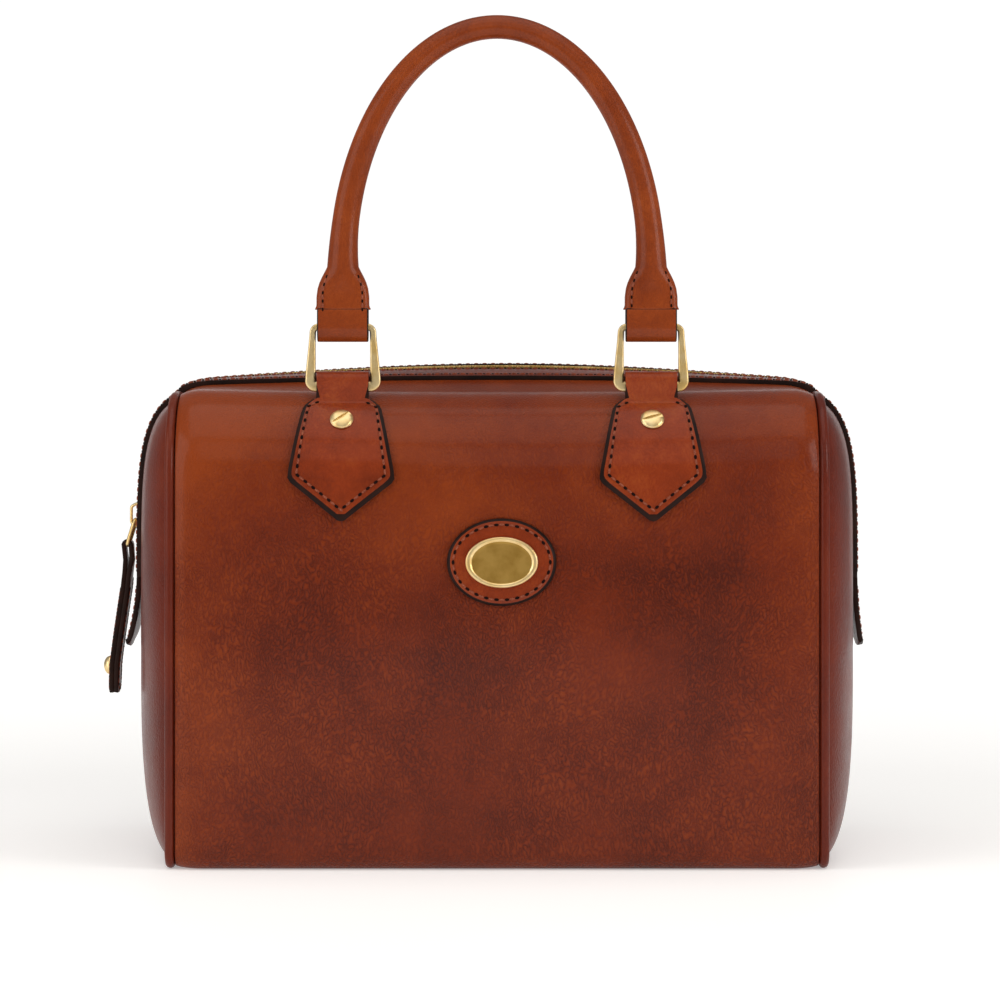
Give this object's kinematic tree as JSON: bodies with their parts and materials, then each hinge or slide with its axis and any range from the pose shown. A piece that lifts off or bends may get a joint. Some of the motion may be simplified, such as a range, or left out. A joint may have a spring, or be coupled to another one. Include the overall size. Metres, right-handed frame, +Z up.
{
  "type": "boston bag",
  "caption": "Leather boston bag: soft boxy body with welted end panels, a zip over the top and ends, and rolled carrying handles on square brass rings.",
  "frame": {"origin": "middle of the flat base, on the surface that the bag stands on", "axes": "+Z up; -Y is the front, with the badge; +X to the right seen from the front"},
  "size_m": [0.3409, 0.2024, 0.3697],
  "materials": {
    "body_leather": "glossy vegetable-tanned, mottled chestnut",
    "trim_leather": "satin, with dark painted edges",
    "handle_leather": "satin, rolled",
    "patch_leather": "satin, stitched near the edge",
    "zip_fabric": "woven tape",
    "zip_brass": "polished",
    "hardware_brass": "satin"
  },
  "bodies": {
    "bag": {"body_wrap": "body_leather", "end_panel_left": "body_leather", "end_panel_right": "body_leather", "welt_left": "trim_leather", "welt_right": "trim_leather", "zip_tape": "zip_fabric", "zip_teeth": "zip_brass", "zip_facing_front": "trim_leather", "zip_facing_back": "trim_leather", "zip_end_tab_left": "trim_leather", "zip_end_tab_right": "trim_leather", "zip_slider": "zip_brass", "zip_pull_link": "zip_brass", "zip_pull_strap": "trim_leather", "zip_pull_rivet": "hardware_brass", "handle_tab_front_left": "patch_leather", "handle_tab_front_right": "patch_leather", "handle_tab_back_left": "patch_leather", "handle_tab_back_right": "patch_leather", "tab_screw_front_left": "hardware_brass", "tab_screw_front_right": "hardware_brass", "tab_screw_back_left": "hardware_brass", "tab_screw_back_right": "hardware_brass", "badge_patch": "patch_leather", "badge_plate": "hardware_brass"},
    "front_rings": {"ring_front_left": "hardware_brass", "ring_front_right": "hardware_brass"},
    "front_grip": {"handle_front": "handle_leather", "handle_loop_front_left": "handle_leather", "handle_loop_front_right": "handle_leather"},
    "back_rings": {"ring_back_left": "hardware_brass", "ring_back_right": "hardware_brass"},
    "back_grip": {"handle_back": "handle_leather", "handle_loop_back_left": "handle_leather", "handle_loop_back_right": "handle_leather"}
  },
  "joints": [
    {"name": "front_rings_turn", "type": "hinge", "parent": "bag", "child": "front_rings", "pos_m": [0, -0.063, 0.20801], "axis": [1, 0, 0], "range_deg": [-15, 95]},
    {"name": "front_handle_turn", "type": "hinge", "parent": "front_rings", "child": "front_grip", "pos_m": [0, -0.063, 0.23411], "axis": [1, 0, 0], "range_deg": [-15, 77]},
    {"name": "back_rings_turn", "type": "hinge", "parent": "bag", "child": "back_rings", "pos_m": [0, 0.063, 0.20801], "axis": [1, 0, 0], "range_deg": [0, 95]},
    {"name": "back_handle_turn", "type": "hinge", "parent": "back_rings", "child": "back_grip", "pos_m": [0, 0.089, 0.20573], "axis": [1, 0, 0], "range_deg": [0, 77]}
  ]
}
